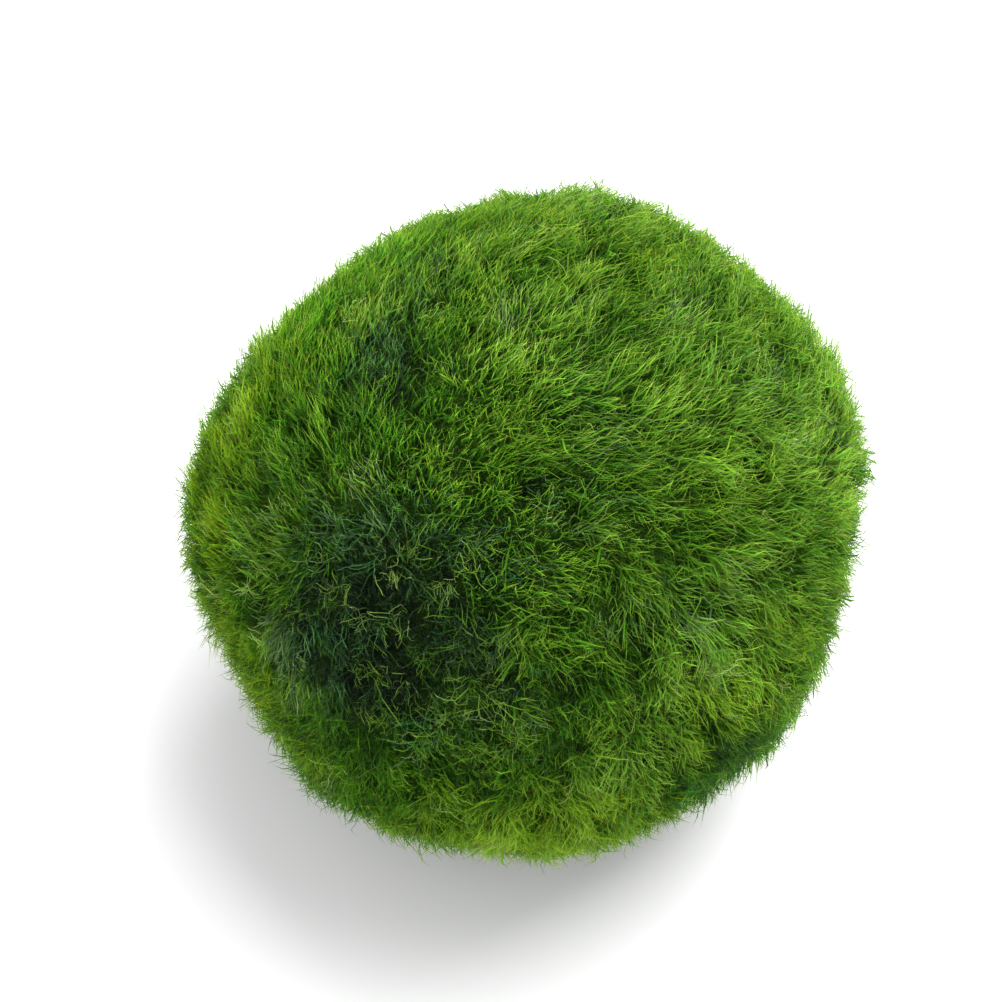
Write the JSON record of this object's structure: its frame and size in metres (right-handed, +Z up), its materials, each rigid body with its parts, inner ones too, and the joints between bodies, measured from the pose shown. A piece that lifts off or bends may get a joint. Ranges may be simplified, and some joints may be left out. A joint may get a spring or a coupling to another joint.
{
  "type": "marimo moss ball",
  "caption": "Round, slightly flattened ball of soft green algae with a deep furry pile, a matted dark hollow and a small pressed spot to rest on.",
  "frame": {"origin": "on the surface that the ball rests on, under the middle of its bounding box", "axes": "+Z up, +X to the right of the side seen first, -Y towards the viewer of that side"},
  "size_m": [0.07, 0.0684, 0.0655],
  "materials": {
    "moss": "soft wet algae pile, matt, fine filaments that are dark at the root and bright green at the tip"
  },
  "bodies": {
    "root": {"moss_ball": "moss"}
  },
  "joints": []
}
